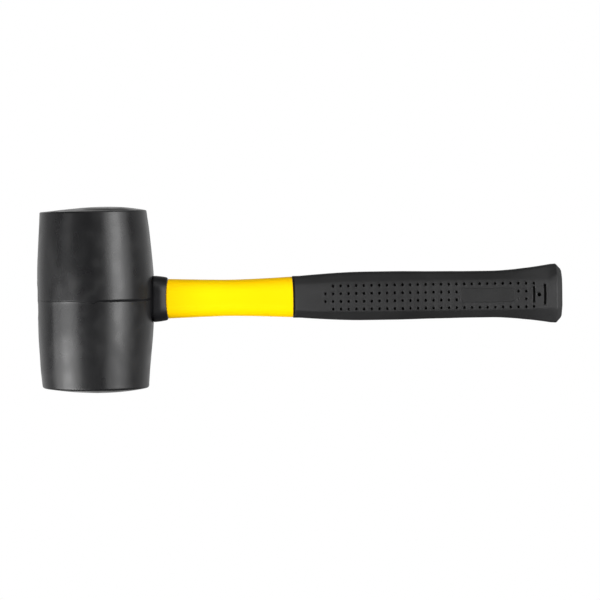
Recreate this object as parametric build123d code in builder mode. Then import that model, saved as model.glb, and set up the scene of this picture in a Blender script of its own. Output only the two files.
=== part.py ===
from build123d import *
import os

# Rubber mallet, millimetres.
# +Z runs along the striking axis of the head, +X runs along the handle from the
# head to the butt, and the origin is the crown of the lower striking face.

# ---------------------------------------------------------------- dimensions
# head
AXIS_Z = 60.3            # height of the handle axis, halfway up the head
RIM_HALF = 57.1          # handle axis to either rim
CROWN = 3.2              # rise of each domed striking face above its rim
RIM_R = 34.55            # radius at the rims
RIM_ROUND = 1.2          # rounding of the rims
FLASH_OUT = 0.25         # parting line, how far it stands proud
FLASH_W = 0.7            # parting line, width
# distance from the handle plane, shift of the section towards the handle, radius
BARREL = [
    (0.0, 0.92, 38.05),
    (12.0, 0.86, 37.9),
    (22.1, 0.66, 37.42),
    (36.4, 0.34, 36.3),
    (46.0, 0.10, 35.5),
    (53.3, 0.0, 34.82),
    (RIM_HALF, 0.0, RIM_R),
]

# eye through the head, along X
EYE_NEAR = 31.0          # where the eye widens for the collar
EYE_FAR = -28.0          # where the eye widens for the far-side plug
BOND_H, BOND_D, BOND_R = 25.0, 19.0, 7.5       # resin in the eye
PLUG_H, PLUG_D, PLUG_R = 28.0, 22.0, 8.0       # far-side plug
PLUG_SINK = 0.05         # plug lies this far below the rubber
SEAT_GAP = 0.15          # play round the plug and the collar in the rubber

# collar at the head
COLLAR_END = 47.5
# x, height, depth, corner radius
COLLAR = [
    (EYE_NEAR, 30.2, 21.0, 8.5),
    (38.6, 30.0, 20.8, 8.5),
    (43.5, 29.0, 20.4, 8.2),
    (COLLAR_END, 27.6, 19.8, 8.0),
]
COLLAR_ROUND = 1.2

# fibreglass core
CORE_START, CORE_END = EYE_FAR, 262.0
CORE_H, CORE_D, CORE_R = 16.0, 11.0, 5.0

# jacket over the core
SEAM = 0.3               # gap at each end of the bare neck
NECK_START = COLLAR_END + SEAM
GRIP_START = 128.8
GRIP_END = 303.3
UNDER_COLLAR = (24.0, 17.0, 6.5)
UNDER_GRIP = (21.0, 15.5, 6.0)
# x, height, depth, corner radius of the bare neck
NECK = [
    (NECK_START, 25.6, 19.0, 8.0),
    (56.0, 25.05, 18.7, 8.0),
    (70.0, 24.1, 18.1, 7.8),
    (85.6, 23.5, 17.7, 7.6),
    (101.0, 24.05, 18.0, 7.7),
    (115.0, 25.05, 18.5, 8.0),
    (GRIP_START - SEAM, 26.3, 19.2, 8.2),
]

# grip sleeve: x, half height, half height of the side panel, half depth,
# half width of the narrow top and bottom faces
GRIP = [
    (GRIP_START, 13.35, 8.4, 10.1, 5.3),
    (137.6, 13.75, 8.8, 10.6, 5.5),
    (148.0, 14.48, 9.1, 11.2, 5.7),
    (163.6, 15.30, 9.4, 11.8, 5.9),
    (184.0, 15.55, 9.5, 12.0, 6.0),
    (205.0, 15.43, 9.5, 12.0, 6.0),
    (231.0, 15.07, 9.4, 11.9, 6.0),
    (252.0, 14.93, 9.4, 11.9, 6.0),
    (267.5, 15.38, 9.6, 12.2, 6.2),
    (283.1, 16.90, 9.8, 13.1, 6.8),
    (288.5, 17.70, 10.2, 13.5, 7.1),
    (293.5, 18.37, 11.4, 13.8, 7.4),
    (298.3, 18.95, 13.4, 14.1, 7.9),
]
GRIP_TIP = [
    (298.3, 18.95, 13.4, 14.1, 7.9),
    (299.4, 18.65, 13.3, 13.9, 7.8),
    (300.6, 17.55, 12.8, 13.1, 7.3),
    (301.9, 16.30, 12.1, 12.2, 6.8),
    (302.7, 14.90, 11.2, 11.2, 6.2),
    (303.2, 11.00, 8.4, 8.6, 4.9),
    (GRIP_END, 6.60, 5.0, 5.2, 3.0),
]
GRIP_ROUND = 1.5         # rounding along the creases

# dimples in each side panel
DIMPLE_PITCH_X = 4.98
DIMPLE_ROWS = (7.1, 2.05, -3.05, -8.1)
DIMPLE_X0 = 149.8
DIMPLE_BALL = 1.0
DIMPLE_SINK = 0.75

# blank recessed panel, two slots and the hanging hole near the butt
PANEL_X0, PANEL_X1, PANEL_H, PANEL_DEEP, PANEL_R = 236.1, 272.0, 9.6, 0.5, 2.4
SLOTS = ((284.4, 11.2), (291.4, 13.7))
SLOT_Z, PANEL_Z = -0.3, -0.5     # their middles, off the handle axis
SLOT_W, SLOT_DEEP = 1.4, 1.2
HANG_X, HANG_Z, HANG_R = 287.6, -0.3, 1.25     # along, height off the handle axis, radius

# plug behind the core, inside the butt
BUTT_END = 280.0
BUTT_FLANGE = (25.0, 18.0, 6.0, 5.0)     # height, depth, corner radius, length

os.makedirs("parts", exist_ok=True)


def across_handle(x):
    """Plane across the handle at x, local x along +Y and local y along +Z."""
    return Plane(origin=(x, 0, AXIS_Z), x_dir=(0, 1, 0), z_dir=(1, 0, 0))


def barrel_stations():
    """Every barrel section from the lower rim to the upper rim."""
    upper = [(AXIS_Z + dz, shift, r) for dz, shift, r in BARREL]
    lower = [(AXIS_Z - dz, shift, r) for dz, shift, r in BARREL[1:]]
    return sorted(lower + upper)


def side_depth(x):
    """Half depth of the grip's side panel at x."""
    for a, b in zip(GRIP, GRIP[1:]):
        if a[0] <= x <= b[0]:
            t = (x - a[0]) / (b[0] - a[0])
            return a[3] + t * (b[3] - a[3])
    return GRIP[-1][3]


# --------------------------------------------------------------- rubber head
with BuildPart() as rubber_head:
    for z, shift, r in barrel_stations():
        with BuildSketch(Plane.XY.offset(z)):
            with Locations((shift, 0)):
                Circle(r)
    loft()
    # domed striking faces
    with BuildSketch(Plane.XZ):
        with BuildLine():
            rim_top = (RIM_R, AXIS_Z + RIM_HALF)
            apex_top = (0, AXIS_Z + RIM_HALF + CROWN)
            ball = (RIM_R ** 2 + CROWN ** 2) / (2 * CROWN)
            Line((0, AXIS_Z + RIM_HALF - 1), apex_top)
            RadiusArc(apex_top, rim_top, ball)
            Line(rim_top, (RIM_R - 1, AXIS_Z + RIM_HALF - 1))
            Line((RIM_R - 1, AXIS_Z + RIM_HALF - 1), (0, AXIS_Z + RIM_HALF - 1))
        make_face()
    revolve(axis=Axis.Z)
    with BuildSketch(Plane.XZ):
        with BuildLine():
            rim_low = (RIM_R, AXIS_Z - RIM_HALF)
            Line((0, AXIS_Z - RIM_HALF + 1), (0, 0))
            RadiusArc((0, 0), rim_low, -ball)
            Line(rim_low, (RIM_R - 1, AXIS_Z - RIM_HALF + 1))
            Line((RIM_R - 1, AXIS_Z - RIM_HALF + 1), (0, AXIS_Z - RIM_HALF + 1))
        make_face()
    revolve(axis=Axis.Z)
    rims = rubber_head.edges().filter_by_position(
        Axis.Z, AXIS_Z + RIM_HALF - 0.05, AXIS_Z + RIM_HALF + 0.05
    ) + rubber_head.edges().filter_by_position(
        Axis.Z, AXIS_Z - RIM_HALF - 0.05, AXIS_Z - RIM_HALF + 0.05
    )
    fillet(rims, RIM_ROUND)
    # parting line round the middle
    with BuildSketch(Plane.XY.offset(AXIS_Z - FLASH_W / 2)):
        with Locations((BARREL[0][1], 0)):
            Circle(BARREL[0][2] + FLASH_OUT)
    extrude(amount=FLASH_W)
    # eye, widened at both ends
    with BuildSketch(across_handle(-45)):
        RectangleRounded(BOND_D, BOND_H, BOND_R)
    extrude(amount=90, mode=Mode.SUBTRACT)
    with BuildSketch(across_handle(EYE_NEAR)):
        RectangleRounded(COLLAR[0][2] + 2 * SEAT_GAP, COLLAR[0][1] + 2 * SEAT_GAP, COLLAR[0][3] + SEAT_GAP)
    extrude(amount=20, mode=Mode.SUBTRACT)
    with BuildSketch(across_handle(EYE_FAR)):
        RectangleRounded(PLUG_D + 2 * SEAT_GAP, PLUG_H + 2 * SEAT_GAP, PLUG_R + SEAT_GAP)
    extrude(amount=-20, mode=Mode.SUBTRACT)
rubber_head.part.label = "rubber_head"
export_step(rubber_head.part, "parts/rubber_head.step")

# ------------------------------------------- plug in the far end of the eye
with BuildPart() as eye_plug:
    for z, shift, r in barrel_stations()[3:-3]:
        with BuildSketch(Plane.XY.offset(z)):
            with Locations((shift, 0)):
                Circle(r - PLUG_SINK)
    loft()
    with BuildSketch(across_handle(EYE_FAR)):
        RectangleRounded(PLUG_D, PLUG_H, PLUG_R)
    extrude(amount=-20, mode=Mode.INTERSECT)
    chamfer(eye_plug.faces().sort_by(Axis.X)[0].edges(), 0.4)
eye_plug.part.label = "eye_plug"
export_step(eye_plug.part, "parts/eye_plug.step")

# --------------------------------------------------- resin round the core
with BuildPart() as resin_bond:
    with BuildSketch(across_handle(EYE_FAR)):
        RectangleRounded(BOND_D, BOND_H, BOND_R)
        RectangleRounded(CORE_D, CORE_H, CORE_R, mode=Mode.SUBTRACT)
    extrude(amount=EYE_NEAR - 1.0 - EYE_FAR)
resin_bond.part.label = "resin_bond"
export_step(resin_bond.part, "parts/resin_bond.step")

# --------------------------------------------------------- fibreglass core
with BuildPart() as fibreglass_core:
    with BuildSketch(across_handle(CORE_START)):
        RectangleRounded(CORE_D, CORE_H, CORE_R)
    extrude(amount=CORE_END - CORE_START)
    chamfer(fibreglass_core.faces().sort_by(Axis.X)[-1].edges(), 0.6)
fibreglass_core.part.label = "fibreglass_core"
export_step(fibreglass_core.part, "parts/fibreglass_core.step")

# ------------------------------------------------------------------ collar
with BuildPart() as neck_collar:
    for x, h, d, r in COLLAR:
        with BuildSketch(across_handle(x)):
            RectangleRounded(d, h, r)
    loft()
    fillet(neck_collar.faces().sort_by(Axis.X)[-1].edges(), COLLAR_ROUND)
    with BuildSketch(across_handle(EYE_NEAR - 1)):
        RectangleRounded(UNDER_COLLAR[1], UNDER_COLLAR[0], UNDER_COLLAR[2])
    extrude(amount=COLLAR_END - EYE_NEAR + 2, mode=Mode.SUBTRACT)
neck_collar.part.label = "neck_collar"
export_step(neck_collar.part, "parts/neck_collar.step")

# ----------------------------------------------------------- handle jacket
with BuildPart() as handle_jacket:
    for x, h, d, r in NECK:
        with BuildSketch(across_handle(x)):
            RectangleRounded(d, h, r)
    loft()
    fillet(handle_jacket.faces().sort_by(Axis.X)[-1].edges(), 0.4)
    with BuildSketch(across_handle(EYE_NEAR - 1.0)):
        RectangleRounded(UNDER_COLLAR[1], UNDER_COLLAR[0], UNDER_COLLAR[2])
    extrude(amount=NECK_START - EYE_NEAR + 1.5)
    with BuildSketch(across_handle(GRIP_START - 5)):
        RectangleRounded(UNDER_GRIP[1], UNDER_GRIP[0], UNDER_GRIP[2])
    extrude(amount=CORE_END - GRIP_START + 5)
    with BuildSketch(across_handle(EYE_NEAR - 5)):
        RectangleRounded(CORE_D, CORE_H, CORE_R)
    extrude(amount=CORE_END - EYE_NEAR + 10, mode=Mode.SUBTRACT)
handle_jacket.part.label = "handle_jacket"
export_step(handle_jacket.part, "parts/handle_jacket.step")

# --------------------------------------------------- plug inside the butt
with BuildPart() as butt_plug:
    with BuildSketch(across_handle(CORE_END)):
        RectangleRounded(UNDER_GRIP[1], UNDER_GRIP[0], UNDER_GRIP[2])
    extrude(amount=BUTT_END - CORE_END)
    with BuildSketch(across_handle(BUTT_END - BUTT_FLANGE[3])):
        RectangleRounded(BUTT_FLANGE[1], BUTT_FLANGE[0], BUTT_FLANGE[2])
    extrude(amount=BUTT_FLANGE[3])
    chamfer(butt_plug.faces().sort_by(Axis.X)[-1].edges(), 1.0)
butt_plug.part.label = "butt_plug"
export_step(butt_plug.part, "parts/butt_plug.step")

# ------------------------------------------------------------- grip sleeve
# dimple places as (x, height) on one side panel
dimples = []
for column in range(28):
    x = DIMPLE_X0 + DIMPLE_PITCH_X * column
    for row, z in enumerate(DIMPLE_ROWS):
        inner = row in (1, 2)
        if column == 0 and not inner:
            continue
        if inner and 18 <= column <= 24:
            continue                      # the blank panel is here
        if inner and column == 27:
            continue                      # the first slot is here
        dimples.append((x, z))

with BuildPart() as grip_sleeve:
    for x, h, f, d, e in GRIP:
        with BuildSketch(across_handle(x)) as section:
            Polygon((d, f), (e, h), (-e, h), (-d, f), (-d, -f), (-e, -h), (e, -h), (d, -f), align=None)
            fillet(section.vertices(), GRIP_ROUND)
    loft()
    for x, h, f, d, e in GRIP_TIP:
        with BuildSketch(across_handle(x)) as section:
            Polygon((d, f), (e, h), (-e, h), (-d, f), (-d, -f), (-e, -h), (e, -h), (d, -f), align=None)
            fillet(section.vertices(), GRIP_ROUND)
    loft(ruled=True)
    # hollow for the jacket, the core and the butt plug
    with BuildSketch(across_handle(GRIP_START - 2)):
        RectangleRounded(UNDER_GRIP[1], UNDER_GRIP[0], UNDER_GRIP[2])
    extrude(amount=BUTT_END - GRIP_START + 2, mode=Mode.SUBTRACT)
    with BuildSketch(across_handle(BUTT_END - BUTT_FLANGE[3])):
        RectangleRounded(BUTT_FLANGE[1], BUTT_FLANGE[0], BUTT_FLANGE[2])
    extrude(amount=BUTT_FLANGE[3], mode=Mode.SUBTRACT)
    # hanging hole straight through the solid butt
    with BuildSketch(Plane(origin=(HANG_X, 20, AXIS_Z + HANG_Z), x_dir=(1, 0, 0), z_dir=(0, -1, 0))):
        Circle(HANG_R)
    extrude(amount=40, mode=Mode.SUBTRACT)
    # features of both side panels
    for side in (-1, 1):
        # blank recessed panel
        floor_y = side_depth((PANEL_X0 + PANEL_X1) / 2) - PANEL_DEEP
        panel_plane = Plane(origin=((PANEL_X0 + PANEL_X1) / 2, side * floor_y, AXIS_Z + PANEL_Z), x_dir=(1, 0, 0), z_dir=(0, side, 0))
        with BuildSketch(panel_plane):
            RectangleRounded(PANEL_X1 - PANEL_X0, PANEL_H, PANEL_R)
        extrude(amount=4, mode=Mode.SUBTRACT)
        # slots on both sides of the hanging hole
        for slot_x, slot_h in SLOTS:
            slot_plane = Plane(origin=(slot_x, side * (side_depth(slot_x) - SLOT_DEEP), AXIS_Z + SLOT_Z), x_dir=(1, 0, 0), z_dir=(0, side, 0))
            with BuildSketch(slot_plane):
                RectangleRounded(SLOT_W, slot_h, SLOT_W / 2 - 0.05)
            extrude(amount=4, mode=Mode.SUBTRACT)
        # dimples
        centres = [(x, side * (side_depth(x) + DIMPLE_BALL - DIMPLE_SINK), AXIS_Z + z) for x, z in dimples]
        with Locations(*centres):
            Sphere(DIMPLE_BALL, mode=Mode.SUBTRACT)
grip_sleeve.part.label = "grip_sleeve"
export_step(grip_sleeve.part, "parts/grip_sleeve.step")
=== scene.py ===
import math

import bpy
import numpy as np
from mathutils import Matrix, Vector


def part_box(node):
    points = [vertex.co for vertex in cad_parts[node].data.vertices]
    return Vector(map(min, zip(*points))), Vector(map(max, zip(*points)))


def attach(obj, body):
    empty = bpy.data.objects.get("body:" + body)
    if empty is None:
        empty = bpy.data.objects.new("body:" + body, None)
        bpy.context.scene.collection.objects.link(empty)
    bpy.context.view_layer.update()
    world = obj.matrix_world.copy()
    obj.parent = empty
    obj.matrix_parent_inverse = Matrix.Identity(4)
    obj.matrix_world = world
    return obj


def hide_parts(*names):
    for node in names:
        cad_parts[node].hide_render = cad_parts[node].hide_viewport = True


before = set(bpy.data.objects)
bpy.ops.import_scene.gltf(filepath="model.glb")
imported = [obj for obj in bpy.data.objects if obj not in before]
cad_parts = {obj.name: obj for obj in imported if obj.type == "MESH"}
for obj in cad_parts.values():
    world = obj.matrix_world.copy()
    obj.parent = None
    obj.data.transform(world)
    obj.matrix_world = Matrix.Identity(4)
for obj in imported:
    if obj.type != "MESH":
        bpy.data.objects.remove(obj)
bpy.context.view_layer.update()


# All shapes below are worked out in millimetres in the row frame, and scaled once.
MM = 0.001
AXIS_Z = 60.3          # height of the handle axis
HEAD_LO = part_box("rubber_head")[0] / MM
HEAD_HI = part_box("rubber_head")[1] / MM
GRIP_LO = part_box("grip_sleeve")[0] / MM
GRIP_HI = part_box("grip_sleeve")[1] / MM


# ------------------------------------------------------------------ helpers
def curve(points):
    """A smooth curve through (x, y) points that never overshoots them."""
    p = np.array(sorted(points), float)
    x, y = p[:, 0], p[:, 1]
    h = np.diff(x)
    s = np.diff(y) / h
    m = np.zeros(len(x))
    for i in range(1, len(x) - 1):
        if s[i - 1] * s[i] > 0:
            w1, w2 = 2 * h[i] + h[i - 1], h[i] + 2 * h[i - 1]
            m[i] = (w1 + w2) / (w1 / s[i - 1] + w2 / s[i])
    m[0], m[-1] = s[0], s[-1]

    def at(q):
        q = np.clip(np.asarray(q, float), x[0], x[-1])
        i = np.clip(np.searchsorted(x, q, side="right") - 1, 0, len(x) - 2)
        t = (q - x[i]) / h[i]
        a, b, c, d = y[i], h[i] * m[i], y[i + 1], h[i] * m[i + 1]
        return (2*t**3 - 3*t**2 + 1) * a + (t**3 - 2*t**2 + t) * b + (-2*t**3 + 3*t**2) * c + (t**3 - t**2) * d

    return at


def smoothstep(a, b, v):
    t = np.clip((np.asarray(v, float) - a) / (b - a), 0, 1)
    return t * t * (3 - 2 * t)


def make_object(name, verts, faces, sharp=None):
    """A mesh piece from millimetre points."""
    mesh = bpy.data.meshes.new(name)
    mesh.from_pydata([tuple(v) for v in np.asarray(verts, float) * MM], [], [tuple(f) for f in faces])
    mesh.validate()
    mesh.update()
    obj = bpy.data.objects.new(name, mesh)
    bpy.context.scene.collection.objects.link(obj)
    mesh.polygons.foreach_set("use_smooth", [True] * len(mesh.polygons))
    if sharp:
        mesh.set_sharp_from_angle(angle=math.radians(sharp))
    mesh.update()
    return obj


def bridge(faces, a, b, flip=False):
    """Quads between two closed loops of vertex numbers."""
    n = len(a)
    for i in range(n):
        j = (i + 1) % n
        f = (a[i], a[j], b[j], b[i])
        faces.append(f[::-1] if flip else f)


def apply_modifiers(obj):
    """The piece's mesh with its modifiers worked in."""
    dg = bpy.context.evaluated_depsgraph_get()
    done = bpy.data.meshes.new_from_object(obj.evaluated_get(dg))
    obj.modifiers.clear()
    old, obj.data = obj.data, done
    bpy.data.meshes.remove(old)
    return obj


def rounded_rect(h, d, r, corner=10, side=4):
    """A closed loop (y, z) of a rounded rectangle, h high and d deep, counter-clockwise from +y."""
    r = min(r, h / 2 - 0.01, d / 2 - 0.01)
    pts = []
    hy, hz = d / 2 - r, h / 2 - r
    for cy, cz, a0 in ((hy, hz, 0), (-hy, hz, 90), (-hy, -hz, 180), (hy, -hz, 270)):
        for k in range(corner + 1):
            a = math.radians(a0 + 90 * k / corner)
            pts.append((cy + r * math.cos(a), cz + r * math.sin(a)))
        # straight run to the next corner
        nxt = {0: (-hy, hz + r), 90: (-hy - r, -hz), 180: (hy, -hz - r), 270: (hy + r, hz)}[a0]
        last = pts[-1]
        for k in range(1, side):
            t = k / side
            pts.append((last[0] + (nxt[0] - last[0]) * t, last[1] + (nxt[1] - last[1]) * t))
    return np.array(pts)


# ---------------------------------------------------------------- the camera
CAM_DIST = 1750.0
CAM_ELEV = math.radians(1.9)
CAM_ROLL = math.radians(0.84)
SCALE = 0.6495                       # millimetres to a pixel at the mallet
aim = Vector((133.4, 0.0, 58.2)) * MM
look = Vector((0, math.cos(CAM_ELEV), -math.sin(CAM_ELEV)))
up0 = Vector((0, math.sin(CAM_ELEV), math.cos(CAM_ELEV)))
right = math.cos(CAM_ROLL) * Vector((1, 0, 0)) - math.sin(CAM_ROLL) * up0
up = math.sin(CAM_ROLL) * Vector((1, 0, 0)) + math.cos(CAM_ROLL) * up0
cam_data = bpy.data.cameras.new("camera")
cam_data.sensor_width = 36.0
cam_data.lens = 36.0 * (CAM_DIST / SCALE) / 600.0
cam_data.clip_end = 50.0
camera = bpy.data.objects.new("camera", cam_data)
bpy.context.scene.collection.objects.link(camera)
pose = Matrix((right, up, -look)).transposed().to_4x4()
pose.translation = aim - look * (CAM_DIST * MM)
camera.matrix_world = pose
bpy.context.scene.camera = camera


# ---------------------------------------------------------------- rubber head
# The two halves of the moulding differ a little, and neither face is quite square.
RIM_R = 34.55
CROWN_UP, RIM_UP, TILT_UP = 2.85, 57.45, 0.006
CROWN_LO, RIM_LO, TILT_LO = 3.35, 56.95, 0.011
# distance from the handle plane: radius, and shift of the section to the handle
upper_r = curve([(0, 38.0), (10, 37.9), (17, 37.72), (22.1, 37.48), (36.4, 36.45), (46, 35.66), (53.3, 34.95), (57.5, 34.6)])
upper_shift = curve([(0, 0.90), (12, 0.92), (17, 0.86), (22.1, 0.76), (36.4, 0.55), (46, 0.40), (53.3, 0.12), (57.5, 0.02)])
lower_r = curve([(0, 37.74), (10, 37.60), (22.1, 37.22), (36.4, 36.16), (46, 35.42), (53.3, 34.80), (57.5, 34.45)])
lower_shift = curve([(0, 0.84), (12, 0.78), (22.1, 0.52), (36.4, 0.14), (46, -0.12), (53.3, -0.08), (57.5, 0.0)])


def barrel_r(z):
    """Radius of the barrel at z off the handle plane."""
    z = np.asarray(z, float)
    return np.where(z >= 0, upper_r(np.abs(z)), lower_r(np.abs(z)))


def barrel_shift(z):
    z = np.asarray(z, float)
    return np.where(z >= 0, upper_shift(np.abs(z)), lower_shift(np.abs(z)))


ROUND_TOP, ROUND_LOW = 0.9, 1.7      # rim rounding


def parting(phi):
    """Height of the parting line round the barrel, off the handle plane."""
    u = np.cos(phi)                                  # -1 far from the handle, +1 at the handle
    front = np.where(np.sin(phi) < 0, 1.0, 0.0)
    wave = 0.10 * np.sin(3 * phi + 0.6) + 0.07 * np.sin(7 * phi + 2.1) + 0.04 * np.sin(16 * phi)
    # the tear in the flash on the front face
    du = u - 0.03
    tear = -1.35 * np.where(du < 0, np.exp(-(du / 0.16) ** 2), np.exp(-(du / 0.055) ** 2)) * front
    return wave + tear


def head_mesh():
    n = 288
    phi = np.linspace(0, 2 * np.pi, n, endpoint=False)
    # rows from the lower rim to the upper rim, finer at the parting line
    base = np.concatenate([
        np.linspace(-RIM_LO + 2.2, -2.4, 44), [-1.7, -1.15, -0.8, -0.62, -0.5, -0.38, -0.26, -0.14, -0.02,
        0.08, 0.16, 0.24, 0.34, 0.46, 0.6, 0.78, 1.1, 1.7], np.linspace(2.4, RIM_UP - 1.5, 44)])
    rows = []

    def ring(z_arr, r_arr, s_arr):
        return np.stack([s_arr + r_arr * np.cos(phi), r_arr * np.sin(phi), AXIS_Z + z_arr], 1)

    def end_rows(sign, rnd):
        """Rows over a rim and its dome, from the barrel to the apex."""
        out = []
        z_rim, crown = (RIM_UP, CROWN_UP) if sign > 0 else (RIM_LO, CROWN_LO)
        ball = (RIM_R ** 2 + crown ** 2) / (2 * crown)
        c = rnd * 0.9
        p0 = np.array([float(barrel_r(sign * (z_rim - c))), z_rim - c])
        p1 = np.array([RIM_R, z_rim])
        r2 = RIM_R - c
        dome = lambda r: z_rim + crown - ball + math.sqrt(ball ** 2 - r ** 2)
        p2 = np.array([r2, dome(r2)])
        for t in np.linspace(0, 1, 9)[0:]:
            w = 1.15
            den = (1 - t) ** 2 + 2 * w * t * (1 - t) + t ** 2
            p = ((1 - t) ** 2 * p0 + 2 * w * t * (1 - t) * p1 + t ** 2 * p2) / den
            out.append((p[0], p[1]))
        for r in r2 * np.concatenate([np.linspace(0.97, 0.1, 26), [0.04]]):
            out.append((r, dome(r)))
        return [ring(np.full(n, sign * z), np.full(n, r), np.zeros(n)) for r, z in out]

    low = end_rows(-1, ROUND_LOW)[::-1]
    wob = parting(phi)
    for z in base:
        # the parting line carries its own rows with it where it wanders
        z_arr = z + wob * math.exp(-(z / 4.0) ** 2) if abs(z) < 14 else np.full(n, z)
        z_arr = np.asarray(z_arr, float) * np.ones(n)
        r = barrel_r(z) * np.ones(n)
        # moulding flash: the lower half stands a hair proud, with a groove over it that
        # is deep and wide towards the handle and fine at the far side
        vary = 1 + 0.35 * np.sin(5 * phi + 1.0) * 0.5 + 0.15 * np.sin(11 * phi)
        near = smoothstep(-0.02, 0.16, np.cos(phi))
        lip = 0.05 * math.exp(-((z + 0.30) / 0.26) ** 2)
        wide = 0.17 + 0.36 * near
        deep = 0.28 + 0.26 * near
        groove = -deep * np.exp(-((z - 0.10) / wide) ** 2)
        step = 0.26 * (1 - smoothstep(-0.1, 0.2, z)) * math.exp(-abs(z) / 6.0)
        r = r + lip * vary * (1 - 0.6 * near) + groove * (0.85 + 0.15 * vary) + step
        rows.append(ring(z_arr, r, barrel_shift(z) * np.ones(n)))
    rows = low + rows + end_rows(1, ROUND_TOP)
    verts = np.concatenate(rows)
    # the faces lie a little out of square: higher and lower on the handle side
    dz = verts[:, 2] - AXIS_Z
    near_rim = smoothstep(30, 57, np.abs(dz)) * np.where(np.hypot(verts[:, 0], verts[:, 1]) > 12, 1.0, np.hypot(verts[:, 0], verts[:, 1]) / 12)
    verts[:, 2] += near_rim * np.where(dz > 0, TILT_UP, -TILT_LO) * verts[:, 0]
    # and their domes are fullest a little towards the handle
    full = np.clip(1 - (verts[:, 0] ** 2 + verts[:, 1] ** 2) / RIM_R ** 2, 0, 1) * (np.abs(dz) > 56.5)
    lean = verts[:, 0] / RIM_R
    verts[:, 2] += full * np.where(dz > 0, 1.15 * lean - 0.15, 0.05 - 0.45 * lean)
    faces = []
    for k in range(len(rows) - 1):
        bridge(faces, [k * n + i for i in range(n)], [(k + 1) * n + i for i in range(n)])
    lo, hi = len(verts), len(verts) + 1
    verts = np.concatenate([verts, [[0, 0, AXIS_Z - RIM_LO - CROWN_LO + 0.05], [0, 0, AXIS_Z + RIM_UP + CROWN_UP - 0.15]]])
    top = (len(rows) - 1) * n
    for i in range(n):
        j = (i + 1) % n
        faces.append((lo, j, i))
        faces.append((hi, top + i, top + j))
    return verts, faces


def prism(name, outline, x0, x1):
    """A cutter along X with the (y, z) outline."""
    n = len(outline)
    v = [(x0, y, AXIS_Z + z) for y, z in outline] + [(x1, y, AXIS_Z + z) for y, z in outline]
    f = []
    bridge(f, list(range(n)), list(range(n, 2 * n)), flip=x1 < x0)
    a, b = tuple(range(n))[::-1], tuple(range(n, 2 * n))
    f += [a, b] if x1 > x0 else [a[::-1], b[::-1]]
    return make_object(name, v, f)


head = make_object("rubber_head_moulding", *head_mesh())
cutters = [
    prism("cut_collar", rounded_rect(31.3, 23.0, 9.2, 12, 6), 31.0, 52.0),
    prism("cut_plug", rounded_rect(28.5, 22.5, 8.25, 12, 6), -50.0, -28.0),
    prism("cut_eye", rounded_rect(25.0, 19.0, 7.5, 12, 6), -29.0, 32.0),
]
for cutter in cutters:
    mod = head.modifiers.new("cut", "BOOLEAN")
    mod.operation, mod.solver, mod.object = "DIFFERENCE", "EXACT", cutter
apply_modifiers(head)
for cutter in cutters:
    mesh = cutter.data
    bpy.data.objects.remove(cutter)
    bpy.data.meshes.remove(mesh)
head.data.polygons.foreach_set("use_smooth", [True] * len(head.data.polygons))
head.data.set_sharp_from_angle(angle=math.radians(40))


# ----------------------------------------------------- far plug, with its lip
def plug_mesh():
    """Plug flush with the barrel, its outer face following the rubber."""
    loops = []
    specs = [(-28.05, 28.0, 22.0, 8.0, None), (-33.0, 28.0, 22.0, 8.0, None)]
    for x, h, d, r, _ in specs:
        o = rounded_rect(h, d, r, 12, 6)
        loops.append(np.stack([np.full(len(o), x), o[:, 0], AXIS_Z + o[:, 1]], 1))
    for inset, sink in ((0.0, 0.45), (0.12, 0.2), (0.4, 0.06), (1.0, 0.03), (3.0, 0.03), (5.5, 0.25), (6.2, 0.45), (8.0, 0.5)):
        h, d = 28.0 - 2 * inset, 22.0 - 2 * inset
        o = rounded_rect(h, d, max(8.0 - inset, 1.0), 12, 6)
        z = o[:, 1]
        x = barrel_shift(z) - np.sqrt(np.maximum(barrel_r(z) ** 2 - o[:, 0] ** 2, 0)) + sink
        loops.append(np.stack([x, o[:, 0], AXIS_Z + o[:, 1]], 1))
    n = len(loops[0])
    verts = np.concatenate(loops)
    faces = []
    for k in range(len(loops) - 1):
        bridge(faces, [k * n + i for i in range(n)], [(k + 1) * n + i for i in range(n)], flip=True)
    faces.append(tuple(range(n)))
    verts, last = list(verts), (len(loops) - 1) * n
    mid = len(verts)
    verts.append((float(barrel_shift(0) - barrel_r(0) + 0.5), 0, AXIS_Z))
    for i in range(n):
        faces.append((mid, last + (i + 1) % n, last + i))
    return verts, faces


plug = make_object("eye_plug_face", *plug_mesh(), sharp=40)


# ------------------------------------------------------------------- collar
def loft(stations, corner=14, side=8, bow=None, close=True):
    """Rounded-rectangle rings at (x, h, d, r), joined, and with close the last ring joined back to the first."""
    loops = []
    for x, h, d, r in stations:
        o = rounded_rect(h, d, r, corner, side)
        xs = np.full(len(o), float(x))
        if bow is not None:
            xs = xs + bow(x, o[:, 0], o[:, 1], h)
        loops.append(np.stack([xs, o[:, 0], AXIS_Z + o[:, 1]], 1))
    n = len(loops[0])
    verts = np.concatenate(loops)
    faces = []
    for k in range(len(loops) - 1):
        bridge(faces, [k * n + i for i in range(n)], [(k + 1) * n + i for i in range(n)])
    if close:
        bridge(faces, [(len(loops) - 1) * n + i for i in range(n)], list(range(n)))
    return verts, faces


COLLAR_BOW = 1.0


def collar_bow(x, y, z, h):
    """The collar's free end is drawn back towards the head at mid height."""
    f = smoothstep(40.5, 46.5, x)
    return -COLLAR_BOW * f * (1 - (2 * z / h) ** 2)


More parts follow.
